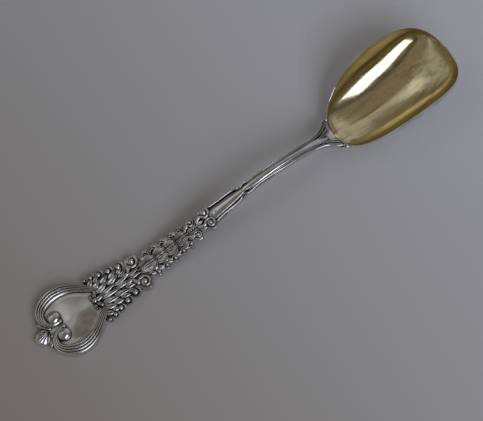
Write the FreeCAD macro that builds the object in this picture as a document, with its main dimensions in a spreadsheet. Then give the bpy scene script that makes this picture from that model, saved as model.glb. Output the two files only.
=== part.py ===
import FreeCAD, Part
import math
import os
import Sketcher
from FreeCAD import Placement, Rotation, Vector

# Stilton scoop, one piece of silver: a heart-shaped terminal with a reeded border,
# a carved handle that narrows to a threaded shank, and a deep bowl with a rounded lip.
# Millimetres. +X runs from the terminal to the lip, +Z is up, and the scoop lies on Z = 0.

doc = FreeCAD.newDocument("stilton_scoop")
sheet = doc.addObject("Spreadsheet::Sheet", "sizes")

SIZES = (
    # Lengths along the handle, in order from the tip
    ("finial_length", 6.2),
    ("heart_length", 26.0),
    ("beaded_length", 22.3),
    ("husk_length", 34.0),
    ("panel_length", 15.5),
    ("shank_length", 48.0),
    ("bowl_length", 58.0),
    # Heights of the handle's top, its thickness, and how far its two lobes stand out below
    ("terminal_thickness", 2.4),
    ("panel_top", 9.1),
    ("arch_top", 13.2),
    ("neck_top", 6.4),
    ("shank_thickness", 3.6),
    ("sole_height", 0.3),
    # Widths
    ("heart_width", 30.4),
    ("shell_width", 7.4),
    ("bead_row_width", 20.4),
    ("husk_width", 9.2),
    ("collar_width", 5.2),
    ("shank_width", 4.8),
    ("shoulder_width", 18.4),
    # Ornament
    ("border_width", 5.0),
    ("border_rise", 1.0),
    ("knob_diameter", 4.6),
    ("first_bead", 1.9),
    ("last_bead", 3.3),
    ("big_volute", 6.0),
    ("small_volute", 4.9),
    ("scroll_rise", 0.9),
    ("leaf_rise", 0.9),
    ("thread_width", 0.9),
    # Bowl
    ("bowl_width", 38.4),
    ("bowl_wall", 1.3),
    ("rear_rim", 4.2),
    ("middle_rim", 18.6),
    ("lip_rim", 15.3),
)
LENGTHS = 7
for row, (name, value) in enumerate(SIZES, start=1):
    sheet.set("A%d" % row, name)
    sheet.set("B%d" % row, str(value))
    sheet.setAlias("B%d" % row, name)
doc.recompute()
size = {name: float(sheet.get(name)) for name, value in SIZES}


def blend(start, end, share):
    return start + (end - start) * share


# Stations along X, each where one stretch of the handle ends
total_length = sum(size[name] for name, value in SIZES[:LENGTHS])
tip_x = -total_length / 2
heart_x = tip_x + size["finial_length"]
beads_x = heart_x + size["heart_length"]
husks_x = beads_x + size["beaded_length"]
panel_x = husks_x + size["husk_length"]
collar_x = panel_x + size["panel_length"]
neck_x = collar_x + size["shank_length"]
lip_x = neck_x + size["bowl_length"]
arch_x = blend(collar_x, neck_x, 0.35)
drop_x = blend(collar_x, neck_x, 0.75)
volute_x = husks_x - 0.67 * size["big_volute"]
small_volute_x = panel_x - 0.55 * size["small_volute"]

half_heart = size["heart_width"] / 2
half_beads = size["bead_row_width"] / 2
half_husk = size["husk_width"] / 2
half_shoulder = size["shoulder_width"] / 2
half_shank = size["shank_width"] / 2
half_collar = size["collar_width"] / 2
half_volute = 0.5 * half_husk + 0.42 * size["big_volute"]

# How deep the relief is let into the blank, and how far the shank stays inside the blank's edges
SINK = 0.6
EDGE_SETBACK = 0.35
# How far the neck runs on under the bowl
NECK_RUN = 4.0


# Helpers for curves, sketches and features

def spline(points):
    """One smooth curve through a few points."""
    curve = Part.BSplineCurve()
    curve.interpolate([Vector(*point) for point in points])
    return curve


def curve_y(curve, x):
    """Height of a curve at X, by halving the span of its parameter."""
    low = curve.FirstParameter
    high = curve.LastParameter
    for _ in range(40):
        middle = (low + high) / 2
        if curve.value(middle).x < x:
            low = middle
        else:
            high = middle
    return curve.value(low).y


def curve_end(curve, last):
    return curve.value(curve.LastParameter if last else curve.FirstParameter)


def add_feature(name, shape):
    feature = doc.addObject("Part::Feature", name)
    feature.Label = name
    feature.Shape = shape
    feature.Placement = Placement()
    return feature


def add_sketch(body, name, role, curves, offset=0.0):
    """A closed outline on one of the body's own planes; ends that meet are tied together."""
    plane = next(item for item in body.Origin.OriginFeatures if item.Role == role)
    sketch = body.newObject("Sketcher::SketchObject", name)
    sketch.AttachmentSupport = [(plane, "")]
    sketch.MapMode = "FlatFace"
    sketch.AttachmentOffset = Placement(Vector(0, 0, offset), Rotation())
    sketch.addGeometry(curves, False)
    ends = []
    for index in range(len(curves)):
        for end in (1, 2):
            ends.append((index, end, sketch.getPoint(index, end)))
    ties = []
    for number, (index, end, point) in enumerate(ends):
        for other, other_end, other_point in ends[number + 1:]:
            if other != index and point.distanceToPoint(other_point) < 1e-6:
                ties.append(Sketcher.Constraint("Coincident", index, end, other, other_end))
    sketch.addConstraint(ties)
    return sketch


# Side profile: the handle's top line and its underside

level_end_x = blend(beads_x, husks_x, 0.8)
husk_middle_x = blend(husks_x, panel_x, 0.5)
husk_middle_top = blend(size["terminal_thickness"], size["panel_top"], 0.4)
neck_end_x = neck_x + NECK_RUN
neck_end_top = size["neck_top"] - 1.0
top_points = [
    (tip_x, size["terminal_thickness"]),
    (blend(heart_x, beads_x, 0.75), size["terminal_thickness"]),
    (level_end_x, size["terminal_thickness"] + 0.3),
    (husk_middle_x, husk_middle_top),
    (panel_x, size["panel_top"]),
    (collar_x, blend(size["panel_top"], size["arch_top"], 0.7)),
    (arch_x, size["arch_top"]),
    (drop_x, blend(size["neck_top"], size["arch_top"], 0.52)),
    (neck_x, size["neck_top"]),
    (neck_end_x, neck_end_top),
]
top_line = spline([(x, z, 0) for x, z in top_points])
under_points = [(level_end_x, size["sole_height"])]
under_points.append((husk_middle_x, husk_middle_top - 0.85 * size["shank_thickness"]))
under_points += [(x, z - size["shank_thickness"]) for x, z in top_points[4:8]]
under_points.append((neck_x, size["neck_top"] - 0.85 * size["shank_thickness"]))
under_points.append((neck_end_x, neck_end_top - 0.75 * size["shank_thickness"]))
under_line = spline([(x, z, 0) for x, z in under_points])


def top_at(x):
    return curve_y(top_line, x)


def on_top(x, y, lift=0.0):
    return Vector(x, y, top_at(x) + lift)


def side_profile():
    body = doc.addObject("PartDesign::Body", "side_profile")
    tip_low = Vector(tip_x, size["sole_height"], 0)
    curves = [
        Part.LineSegment(tip_low, Vector(tip_x, size["terminal_thickness"], 0)),
        top_line,
        Part.LineSegment(curve_end(top_line, True), curve_end(under_line, True)),
        under_line,
        Part.LineSegment(curve_end(under_line, False), tip_low),
    ]
    pad = body.newObject("PartDesign::Pad", "side_pad")
    pad.Profile = add_sketch(body, "side_line", "XZ_Plane", curves)
    pad.Midplane = True
    pad.setExpression("Length", "sizes.heart_width + 10")
    return body


# Middle of the reeded border as shares of the heart's length and half width, and of the border's
# own width: from the cleft, round the lobe, to the heart's point
BORDER_ROUTE = (
    (0.29, 0.09, 0.30),
    (0.17, 0.11, 0.42),
    (0.07, 0.22, 0.55),
    (0.03, 0.40, 0.64),
    (0.07, 0.58, 0.76),
    (0.20, 0.75, 0.92),
    (0.41, 0.835, 1.00),
    (0.69, 0.69, 0.74),
    (0.87, 0.47, 0.60),
    (1.00, 0.27, 0.46),
)
LOBE_TOP = 6
REEDS = 4
BEADS = 5
BEAD_INSET = 0.25


def heart_at(along, across):
    """A point of the heart, as shares of its length and of its half width."""
    return heart_x + along * size["heart_length"], across * half_heart


def bead_places():
    """Centres of the edge beads on the +Y side: they close in towards the big volute."""
    places = []
    for index in range(BEADS):
        share = index / BEADS
        x = blend(beads_x - 1.2, volute_x, share ** 0.9)
        y = blend(half_beads, half_volute, share ** 0.85)
        places.append((x, y))
    return places + [(volute_x, half_volute)]


def outline_half(side):
    """The handle's edge seen from above, from the tip to the neck, on one side."""
    shell_x = blend(tip_x, heart_x, 0.62)
    shell_y = 0.5 * size["shell_width"]
    shell_arc = Part.Arc(
        Vector(tip_x, 0, 0),
        Vector(blend(tip_x, heart_x, 0.16), side * 0.66 * shell_y, 0),
        Vector(shell_x, side * shell_y, 0),
    )
    lobe = [heart_at(along, across) for along, across, width in BORDER_ROUTE[3:8]]
    lobe_line = spline([(x, side * y, 0) for x, y in lobe])
    carved = [(x, side * (y - BEAD_INSET), 0) for x, y in bead_places()]
    carved.append((husks_x, side * 0.92 * half_husk, 0))
    carved.append((blend(husks_x, panel_x, 0.45), side * 0.82 * half_husk, 0))
    carved.append((blend(husks_x, panel_x, 0.9), side * 0.80 * half_husk, 0))
    carved_line = spline(carved)
    shank_line = spline([
        (collar_x, side * half_collar, 0),
        (blend(collar_x, neck_x, 0.1), side * half_shank, 0),
        (drop_x, side * half_shank, 0),
        (blend(collar_x, neck_x, 0.93), side * 0.55 * half_shoulder, 0),
        (neck_x + 0.2, side * half_shoulder, 0),
    ])
    shoulder_end = Vector(neck_end_x, side * 0.8 * half_shoulder, 0)
    return [
        shell_arc,
        Part.LineSegment(Vector(shell_x, side * shell_y, 0), curve_end(lobe_line, False)),
        lobe_line,
        Part.LineSegment(curve_end(lobe_line, True), curve_end(carved_line, False)),
        carved_line,
        Part.LineSegment(curve_end(carved_line, True), curve_end(shank_line, False)),
        shank_line,
        Part.LineSegment(curve_end(shank_line, True), shoulder_end),
    ]


def outline():
    body = doc.addObject("PartDesign::Body", "outline")
    near = Vector(neck_end_x, 0.8 * half_shoulder, 0)
    far = Vector(neck_end_x, -0.8 * half_shoulder, 0)
    curves = outline_half(1) + [Part.LineSegment(near, far)] + outline_half(-1)
    pad = body.newObject("PartDesign::Pad", "edge_pad")
    pad.Profile = add_sketch(body, "edge_line", "XY_Plane", curves)
    pad.Midplane = True
    pad.setExpression("Length", "4 * sizes.arch_top")
    return body


# Shank: crowned sections lofted from the panel to the neck, a little inside the blank's edges

def shank_section(body, name, x, width, crown):
    """A closed section across the handle: crowned top, short upright sides, rounded underside."""
    half = width / 2 - EDGE_SETBACK
    edge_z = top_at(x) - 0.15
    thickness = 0.8 * size["shank_thickness"] if x < neck_x else 0.7 * size["shank_thickness"]
    side_z = edge_z - 0.45 * thickness
    low_z = edge_z - thickness - 0.35
    curves = [
        Part.Arc(Vector(-half, edge_z, 0), Vector(0, edge_z + crown, 0), Vector(half, edge_z, 0)),
        Part.LineSegment(Vector(half, edge_z, 0), Vector(half, side_z, 0)),
        Part.Arc(Vector(half, side_z, 0), Vector(0, low_z, 0), Vector(-half, side_z, 0)),
        Part.LineSegment(Vector(-half, side_z, 0), Vector(-half, edge_z, 0)),
    ]
    return add_sketch(body, name, "YZ_Plane", curves, x)


def shank():
    body = doc.addObject("PartDesign::Body", "shank")
    panel_width = 0.80 * size["husk_width"]
    shank_width = size["shank_width"]
    stations = (
        (panel_x + 1.5, panel_width, 0.75),
        (blend(panel_x, collar_x, 0.6), blend(panel_width, size["collar_width"], 0.6), 0.8),
        (collar_x, size["collar_width"], 0.8),
        (blend(collar_x, neck_x, 0.12), shank_width, 0.75),
        (arch_x, shank_width, 0.75),
        (blend(arch_x, drop_x, 0.33), shank_width, 0.75),
        (blend(arch_x, drop_x, 0.67), shank_width, 0.75),
        (drop_x, shank_width, 0.7),
        (blend(drop_x, neck_x, 0.55), shank_width + 0.3, 0.55),
        (neck_x + 1.0, shank_width + 1.6, 0.3),
    )
    sections = []
    for index, (x, width, crown) in enumerate(stations):
        sections.append(shank_section(body, "shank_section_%d" % index, x, width, crown))
    loft = body.newObject("PartDesign::AdditiveLoft", "shank_loft")
    loft.Profile = sections[0]
    loft.Sections = sections[1:]
    loft.Ruled = True
    return body


# Bowl: each section across it is a rounded trough of straight chords, hung from the rim

REAR_FULLNESS = 2.25
FRONT_FULLNESS = 2.6
WIDEST = 0.55
SIDE_FULLNESS = 1.05
RIM_SPARE = 1.2
CHORDS = 20
# Height of the floor along the bowl, as a share of the rim's height there
FLOOR = ((0.0, 1.0), (0.08, 0.36), (0.18, 0.08), (0.33, 0.0), (0.55, 0.06),
         (0.75, 0.22), (0.88, 0.44), (0.96, 0.72), (1.0, 1.0))
SECTION_SHARES = (0.004, 0.02, 0.06, 0.13, 0.22, 0.33, 0.46, 0.60, 0.74, 0.86, 0.94, 0.98, 0.997)
floor_line = spline([(share, height, 0) for share, height in FLOOR])


def rim_height(share):
    """Rim height along the bowl: a parabola through its rear, middle and lip heights."""
    bend = 2 * (size["rear_rim"] + size["lip_rim"]) - 4 * size["middle_rim"]
    rise = size["lip_rim"] - size["rear_rim"] - bend
    return size["rear_rim"] + rise * share + bend * share ** 2


def rim_half_width(share):
    """Half width of the bowl at its rim, full at the widest place and rounded to both ends."""
    full = size["bowl_width"] / 2
    rear = 0.1 * full
    if share < WIDEST:
        part = (WIDEST - share) / WIDEST
        return rear + (full - rear) * (1 - part ** REAR_FULLNESS) ** (1 / REAR_FULLNESS)
    part = (share - WIDEST) / (1 - WIDEST)
    return full * max(1 - part ** FRONT_FULLNESS, 0) ** (1 / FRONT_FULLNESS)


def bowl_section(body, name, share, inset, rise):
    """A closed section of the bowl; inset thins it all round, rise lifts its flat top over the rim."""
    x = neck_x + inset + share / SECTION_SHARES[-1] * (size["bowl_length"] - 2 * inset)
    half = rim_half_width(share)
    half -= inset * min(1.0, half / 6)
    rim_z = rim_height(share)
    floor_z = blend(inset, rim_z, min(curve_y(floor_line, share), 1.0))
    top_z = rim_z + RIM_SPARE
    low = top_z - (top_z - floor_z) / 0.875
    side_y = SIDE_FULLNESS * half
    poles = [(-half, top_z), (-side_y, low), (0, low), (side_y, low), (half, top_z)]
    trough = Part.BezierCurve()
    trough.setPoles([Vector(y, z, 0) for y, z in poles])
    corners = [trough.value(step / CHORDS) for step in range(CHORDS + 1)]
    corners.append(Vector(half, top_z + rise, 0))
    corners.append(Vector(-half, top_z + rise, 0))
    curves = [Part.LineSegment(corners[index - 1], corners[index]) for index in range(len(corners))]
    return add_sketch(body, name, "YZ_Plane", curves, x)


def bowl_block(name, inset, rise):
    body = doc.addObject("PartDesign::Body", name)
    sections = []
    for index, share in enumerate(SECTION_SHARES):
        sections.append(bowl_section(body, "%s_section_%d" % (name, index), share, inset, rise))
    loft = body.newObject("PartDesign::AdditiveLoft", name + "_loft")
    loft.Profile = sections[0]
    loft.Sections = sections[1:]
    loft.Ruled = True
    return body


def trim_rim(body):
    """Cut the bowl down to the line of its rim, as seen from the side."""
    shares = (0, 0.25, 0.5, 0.75, 1)
    rim_line = spline([(neck_x + share * size["bowl_length"], rim_height(share), 0) for share in shares])
    clear_z = size["middle_rim"] + 12
    before = Vector(neck_x - 3, rim_height(0) - 1, 0)
    after = Vector(lip_x + 3, rim_height(1), 0)
    before_high = Vector(before.x, clear_z, 0)
    after_high = Vector(after.x, clear_z, 0)
    curves = [
        Part.LineSegment(before, curve_end(rim_line, False)),
        rim_line,
        Part.LineSegment(curve_end(rim_line, True), after),
        Part.LineSegment(after, after_high),
        Part.LineSegment(after_high, before_high),
        Part.LineSegment(before_high, before),
    ]
    pocket = body.newObject("PartDesign::Pocket", "rim_cut")
    pocket.Profile = add_sketch(body, "rim_line", "XZ_Plane", curves)
    pocket.Midplane = True
    pocket.setExpression("Length", "2 * sizes.bowl_width")
    return body


# Relief: small solids that stand on the handle's top and sink into it

def level_normal(direction):
    return Vector(-direction.y, direction.x, 0).normalize()


def section_wire(point, across, half, crests, rise, foot_z):
    """A section across one or more rounded crests side by side, each drawn with three chords."""
    points = []
    for index in range(crests):
        for share, height in ((0, 0), (0.25, 0.8), (0.75, 0.8)):
            offset = half * (1 - 2 * (index + share) / crests)
            points.append(point + across * offset + Vector(0, 0, rise * height))
    right = point - across * half
    points.append(right)
    points.append(Vector(right.x, right.y, foot_z))
    points.append(Vector(points[0].x, points[0].y, foot_z))
    return Part.makePolygon(points + points[:1])


def ring(centre, radius, z, sides):
    corners = []
    for index in range(sides):
        turn = 2 * math.pi * index / sides
        corners.append(Vector(centre.x + radius * math.cos(turn), centre.y + radius * math.sin(turn), z))
    return Part.makePolygon(corners + corners[:1])


def ridge(name, route, half_widths, rise, stations):
    """A rounded ridge along a smooth route seen from above; its width runs evenly between the given ones."""
    path = spline([(x, y, 0) for x, y in route])
    wires = []
    for step in range(stations + 1):
        share = step / stations
        parameter = blend(path.FirstParameter, path.LastParameter, share)
        point = path.value(parameter)
        across = level_normal(path.tangent(parameter)[0])
        place = share * (len(half_widths) - 1)
        first = min(int(place), len(half_widths) - 2)
        half = blend(half_widths[first], half_widths[first + 1], place - first)
        stand = on_top(point.x, point.y)
        wires.append(section_wire(stand, across, half, 1, rise, stand.z - SINK))
    return add_feature(name, Part.makeLoft(wires, True, True))


def leaf(x, y, angle, length, width):
    """A carved leaf: a blade with four facets that meet at a raised crest, its tip lifted."""
    turn = math.radians(angle)
    along = Vector(math.cos(turn), math.sin(turn), 0)
    across = level_normal(along)
    root = Vector(x, y, 0)
    middle = root + along * 0.4 * length
    tip = root + along * length
    rim = [root, middle + across * width / 2, tip, middle - across * width / 2]
    rise = size["leaf_rise"]
    upper = [on_top(spot.x, spot.y, 0.1 * rise) for spot in rim]
    upper[2].z += 0.35 * rise
    lower = [Vector(spot.x, spot.y, spot.z - SINK - 0.45 * rise) for spot in upper]
    crest_spot = root + along * 0.55 * length
    crest = on_top(crest_spot.x, crest_spot.y, rise)
    faces = []
    for index in range(4):
        after = (index + 1) % 4
        faces.append([upper[index], upper[after], crest])
        faces.append([upper[index], upper[after], lower[after]])
        faces.append([upper[index], lower[after], lower[index]])
    faces.append([lower[0], lower[1], lower[2]])
    faces.append([lower[0], lower[2], lower[3]])
    skin = Part.makeShell([Part.Face(Part.makePolygon(corners + corners[:1])) for corners in faces])
    return add_feature("leaf", Part.makeSolid(skin))


def dome(name, centre, radius, height, foot_z, sides):
    """A dome on a post: rings lofted from the foot, up the post and over the crown."""
    wires = [ring(centre, radius, foot_z, sides), ring(centre, radius, centre.z, sides)]
    for angle in (30, 62):
        turn = math.radians(angle)
        wires.append(ring(centre, radius * math.cos(turn), centre.z + height * math.sin(turn), sides))
    return add_feature(name, Part.makeLoft(wires, True, True))


VOLUTE_TURNS = 1.45
VOLUTE_STEPS = 14


def volute(name, x, y, diameter, side, foot_z):
    """A scroll end: a disc, a ridge that winds inward on it, and a small eye."""
    radius = diameter / 2
    rise = size["scroll_rise"]
    centre = on_top(x, side * y, 0.25 * rise)
    wires = [ring(centre, 0.97 * radius, foot_z, 16), ring(centre, 0.97 * radius, centre.z, 16)]
    add_feature(name + "_disc", Part.makeLoft(wires, True, True))
    wires = []
    for step in range(VOLUTE_STEPS + 1):
        share = step / VOLUTE_STEPS
        angle = math.radians(200 - 360 * VOLUTE_TURNS * share)
        reach = blend(0.84, 0.34, share) * radius
        half = blend(0.17, 0.10, share) * radius
        out = Vector(math.cos(angle), side * math.sin(angle), 0)
        wires.append(section_wire(centre + out * reach, out, half, 1, 0.75 * rise, centre.z - SINK))
    add_feature(name + "_scroll", Part.makeLoft(wires, True, True))
    dome(name + "_eye", centre, 0.2 * radius, 0.6 * rise, centre.z - SINK, 8)


def border(side):
    """The heart's reeded border: four reeds that roll inward to the knob. Its wall stands below the
    rest where the lobe is widest, so that the scoop lies on its two lobes and its bowl."""
    route = [heart_at(along, across) for along, across, width in BORDER_ROUTE]
    path = spline([(x, side * y, 0) for x, y in route])
    width_line = spline([(index, width, 0) for index, (along, across, width) in enumerate(BORDER_ROUTE)])
    parameters = [path.parameter(Vector(x, side * y, 0)) for x, y in route]
    lobe_x = route[LOBE_TOP][0]
    sole_reach = 0.35 * size["heart_length"]
    wires = []
    for index in range(len(route) - 1):
        for half_step in (0, 0.5):
            parameter = blend(parameters[index], parameters[index + 1], half_step)
            width = curve_y(width_line, index + half_step) * size["border_width"]
            point = path.value(parameter)
            across = level_normal(path.tangent(parameter)[0])
            rise = 0.8 * width / (2 * REEDS)
            stand = on_top(point.x, point.y, 0.45 * size["border_rise"])
            foot_z = 1.3 * size["sole_height"] * min(((point.x - lobe_x) / sole_reach) ** 2, 1)
            wires.append(section_wire(stand, across, width / 2, REEDS, rise, foot_z))
    return add_feature("border", Part.makeLoft(wires, True, True))


def heart():
    """Borders and the domed knobs they roll round, the shell at the tip and the bud at the point."""
    for side in (1, -1):
        border(side)
        x, y = heart_at(0.275, 0.27)
        radius = size["knob_diameter"] / 2
        foot_z = size["terminal_thickness"] / 2
        dome("knob", on_top(x, side * y), radius, 1.5 * size["border_rise"], foot_z, 16)
        leaf(heart_x + 0.4, side * 0.42 * size["shell_width"], 180 - side * 50, 3.0, 1.3)
    for place in (-3, -2, -1, 0, 1, 2, 3):
        leaf(heart_x + 0.6, -0.28 * place, 180 + 21 * place, 0.86 * size["finial_length"], 1.25)
    for place in (-2, -1, 0, 1, 2):
        leaf(beads_x + 1.6, 0, 180 + 36 * place, 3.6, 1.3)


def beads():
    """Edge beads that grow towards the big volutes, each a dome on a post down to the underside."""
    foot_z = 1.2 * size["sole_height"]
    for side in (1, -1):
        for index, (x, y) in enumerate(bead_places()[:BEADS]):
            radius = blend(size["first_bead"], size["last_bead"], index / (BEADS - 1)) / 2
            dome("edge_bead", on_top(x, side * y), radius, 0.8 * radius, foot_z, 10)


SPRAYS = 4


def sprays():
    """Leaf sprays that open from a middle stem towards the bead rows."""
    for side in (1, -1):
        for index in range(SPRAYS):
            share = index / (SPRAYS - 1)
            x = blend(beads_x + 5.0, volute_x - 1.0, share)
            leaf(x, side * blend(2.0, 0.9, share), side * 118, blend(4.4, 2.6, share), 1.6)
            leaf(x + 0.6, side * blend(5.0, 2.4, share), side * 148, 3.0, 1.4)
        ridge("stem", (
            (beads_x + 2.0, side * 2.6),
            (beads_x + 9.0, side * 1.0),
            (volute_x, side * 0.35),
            (husks_x + 2.0, side * 0.3),
        ), (0.3, 0.45, 0.45), 0.5 * size["leaf_rise"], 6)


HUSK_TIERS = 3
VEIN_PITCH = 1.5


def husks():
    """Overlapping tiers of husks whose tips point to the bowl, then a beaded vein between scrolls."""
    pitch = 0.165 * size["husk_length"]
    for tier in range(HUSK_TIERS):
        x = husks_x + 1.0 + tier * pitch
        for place in (-2, 2, -1, 1, 0):
            leaf(x - 0.35 * abs(place), place * 0.30 * half_husk, 11 * place, 1.22 * pitch, 1.55)
    vein_x = husks_x + 1.6 + HUSK_TIERS * pitch
    vein_end = panel_x - 1.3 * size["small_volute"]
    count = int((vein_end - vein_x) / VEIN_PITCH)
    radius = 0.35 * size["thread_width"]
    for index in range(count + 1):
        centre = on_top(blend(vein_x, vein_end, index / count), 0)
        dome("vein_bead", centre, radius, 0.6 * size["leaf_rise"], centre.z - SINK, 6)
    for side in (1, -1):
        hook_x = blend(vein_x, vein_end, 0.72)
        hook_y = 0.60 * half_husk
        reach = 0.36 * half_husk
        route = []
        for angle in range(-150, 121, 45):
            turn = math.radians(angle)
            route.append((hook_x + reach * math.cos(turn), side * (hook_y + 0.85 * reach * math.sin(turn))))
        ridge("hook", route, (0.3, 0.42, 0.3), 0.7 * size["scroll_rise"], 8)
        leaf(vein_x + 1.0, side * 0.45 * half_husk, side * 28, 3.8, 1.4)
        leaf(vein_end + 0.2, side * 0.1, side * 20, 2.6, 1.0)


def threads():
    """Raised threads along the panel and the shank; at the neck they part and run along the shoulders."""
    half = size["thread_width"] / 2
    edge_y = half_shank - 0.9 * half
    for side in (1, -1):
        ridge("panel_thread", (
            (panel_x + 0.5, side * (0.80 * half_husk - half)),
            (blend(panel_x, collar_x, 0.5), side * (blend(0.80 * half_husk, half_collar, 0.52) - half)),
            (collar_x - 0.2, side * (half_collar - half)),
        ), (half, half), 0.5, 4)
        ridge("shank_thread", (
            (collar_x + 0.3, side * 0.42 * half_shank),
            (collar_x + 1.5, side * 0.66 * half_shank),
            (collar_x + 5.0, side * edge_y),
            (arch_x, side * edge_y),
            (drop_x, side * edge_y),
            (blend(collar_x, neck_x, 0.87), side * 1.12 * half_shank),
            (blend(collar_x, neck_x, 0.94), side * 0.52 * half_shoulder),
            (neck_x - 0.2, side * 0.88 * half_shoulder),
        ), (0.7 * half, half, half, half, half, 1.2 * half, 1.1 * half), 0.5, 13)
        centre = on_top(neck_x - 0.2, side * 0.9 * half_shoulder)
        radius = 0.6 * size["first_bead"]
        dome("shoulder_bead", centre, radius, 0.8 * radius, centre.z - 0.5 * size["shank_thickness"], 10)


# Metal: the plain forms are joined first, then the relief stage by stage, and the bowl is hollowed last

handle_blank = doc.addObject("Part::MultiCommon", "handle_blank")
handle_blank.Shapes = [side_profile(), outline()]
shank_body = shank()
bowl_outside = trim_rim(bowl_block("bowl_outside", 0.0, 2.0))
bowl_hollow = bowl_block("bowl_hollow", size["bowl_wall"], 5.0)

heart()
beads()
sprays()
husks()
threads()
for side in (1, -1):
    volute("big_volute", volute_x, half_volute, size["big_volute"], side, 1.2 * size["sole_height"])
    small_foot = top_at(small_volute_x) - 0.6 * size["shank_thickness"]
    volute("small_volute", small_volute_x, 0.56 * half_husk, size["small_volute"], side, small_foot)
relief = [item for item in doc.Objects if item.TypeId == "Part::Feature"]


def named(*starts):
    return [item for item in relief if item.Name.startswith(starts)]


def fuse(name, members):
    step = doc.addObject("Part::MultiFuse", name)
    step.Shapes = members
    doc.recompute()
    return step


metal = fuse("plain_metal", [handle_blank, shank_body, bowl_outside])
metal = fuse("with_leaves", [metal] + named("leaf"))
metal = fuse("with_borders", [metal] + named("border", "knob"))
metal = fuse("with_beads", [metal] + named("edge_bead", "big_volute_disc", "small_volute_disc"))
metal = fuse("with_scrolls", [metal] + named("big_volute_scroll", "small_volute_scroll"))
stems = named("stem", "hook", "vein_bead", "big_volute_eye", "small_volute_eye")
metal = fuse("with_stems", [metal] + stems)
metal = fuse("with_threads", [metal] + named("panel_thread", "shank_thread", "shoulder_bead"))

scoop = doc.addObject("Part::Cut", "scoop")
scoop.Label = "stilton_scoop"
scoop.Base = metal
scoop.Tool = bowl_hollow
doc.recompute()

for item in doc.Objects:
    if "Invalid" in item.State or "Error" in item.State:
        raise RuntimeError("%s did not build" % item.Name)
for item in relief + [handle_blank, shank_body, bowl_outside, bowl_hollow, scoop]:
    if item.Shape.isNull() or not item.Shape.isValid():
        raise RuntimeError("%s has no sound shape" % item.Name)
if len(scoop.Shape.Solids) != 1:
    raise RuntimeError("the scoop is not one solid")
box = scoop.Shape.BoundBox
print("volume", round(scoop.Shape.Volume), "mm3, weight", round(scoop.Shape.Volume * 0.01036), "g")
print("box", [round(v, 3) for v in (box.XMin, box.XMax, box.YMin, box.YMax, box.ZMin, box.ZMax)])
os.makedirs("parts", exist_ok=True)
scoop.Shape.exportStep("parts/stilton_scoop.step")
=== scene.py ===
# %% [markdown]
# # A stilton scoop in silver
# This lesson builds a long scoop that takes cheese from the middle of a wheel. The real one is a single
# piece of silver: a handle struck in a die, with a heart, leaves and scrolls in relief, and a deep bowl
# that is gilt inside. It could be sculpted as one mesh, but then no part of it could be changed by
# itself. Here it is put together from about two hundred small solids, each with a few plain numbers, and
# they are welded at the end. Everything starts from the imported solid's box, so that the dressed piece
# lies exactly where that solid lies.
# %% Load the frame
import math
import bmesh
import bpy
import numpy as np
from mathutils import Matrix, Vector


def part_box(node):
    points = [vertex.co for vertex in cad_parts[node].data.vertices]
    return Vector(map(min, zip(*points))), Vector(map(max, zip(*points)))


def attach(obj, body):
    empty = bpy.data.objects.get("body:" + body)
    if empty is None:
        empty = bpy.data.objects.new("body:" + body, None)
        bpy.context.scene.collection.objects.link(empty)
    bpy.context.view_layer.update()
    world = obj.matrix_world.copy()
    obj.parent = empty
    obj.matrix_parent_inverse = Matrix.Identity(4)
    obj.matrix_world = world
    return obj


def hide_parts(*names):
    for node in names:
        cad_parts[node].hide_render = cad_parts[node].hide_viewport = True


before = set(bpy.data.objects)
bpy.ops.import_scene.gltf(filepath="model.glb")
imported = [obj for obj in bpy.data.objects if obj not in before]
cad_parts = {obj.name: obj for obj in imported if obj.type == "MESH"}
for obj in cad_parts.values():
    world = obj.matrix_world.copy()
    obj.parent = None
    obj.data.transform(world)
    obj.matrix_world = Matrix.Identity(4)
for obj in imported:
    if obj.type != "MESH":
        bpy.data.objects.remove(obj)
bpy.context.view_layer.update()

# %% [markdown]
# ## Measures
# A silversmith marks a handle out from its tip with dividers. Places could be given in the model's metres
# from its middle, but they would be hard to compare with the piece. So every place below is in
# millimetres as (along, across, up): along from the tip of the shell, across from the middle line, up
# from the table.
# %% Millimetres from the tip
MM = 0.001
low_corner, high_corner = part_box("stilton_scoop")
TIP = low_corner.x / MM
LENGTH = round((high_corner.x - low_corner.x) / MM, 2)
print("the tip is at", round(TIP, 2), "mm and the scoop is", LENGTH, "mm long")

# %% [markdown]
# ## Smooth lines
# The handle's edges and heights have no corners: a maker draws them along a bent strip of wood. They
# could be curve objects, but a curve object can't be asked how high it is at a place. A natural cubic is
# the same bent strip as a formula, so it can be read anywhere, for heights as well as for the routes of
# wires.
# %% A line that can be read anywhere
def smooth_line(places, values):
    """A natural cubic through values at rising places."""
    places, values = np.asarray(places, float), np.asarray(values, float)
    gaps = np.diff(places)
    count = len(places)
    matrix, pull = np.eye(count), np.zeros(values.shape)
    for i in range(1, count - 1):
        matrix[i, i - 1:i + 2] = gaps[i - 1], 2 * (gaps[i - 1] + gaps[i]), gaps[i]
        pull[i] = 6 * ((values[i + 1] - values[i]) / gaps[i] - (values[i] - values[i - 1]) / gaps[i - 1])
    bend = np.linalg.solve(matrix, pull)

    def read(at):
        at = np.clip(np.asarray(at, float), places[0], places[-1])
        i = np.clip(np.searchsorted(places, at, side="right") - 1, 0, count - 2)
        shape = at.shape + (1,) * (values.ndim - 1)
        gap = gaps[i].reshape(shape)
        left, right = (places[i + 1] - at).reshape(shape) / gap, (at - places[i]).reshape(shape) / gap
        cubic = ((left ** 3 - left) * bend[i] + (right ** 3 - right) * bend[i + 1]) * gap ** 2 / 6
        return left * values[i] + right * values[i + 1] + cubic
    return read


def route(marks, count):
    """count points, evenly spaced, along the smooth line through a few marks."""
    marks = np.asarray(marks, float)
    steps = np.r_[0, np.cumsum(np.linalg.norm(np.diff(marks[:, :2], axis=0), axis=1))]
    return smooth_line(steps, marks)(np.linspace(0, steps[-1], count))


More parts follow.
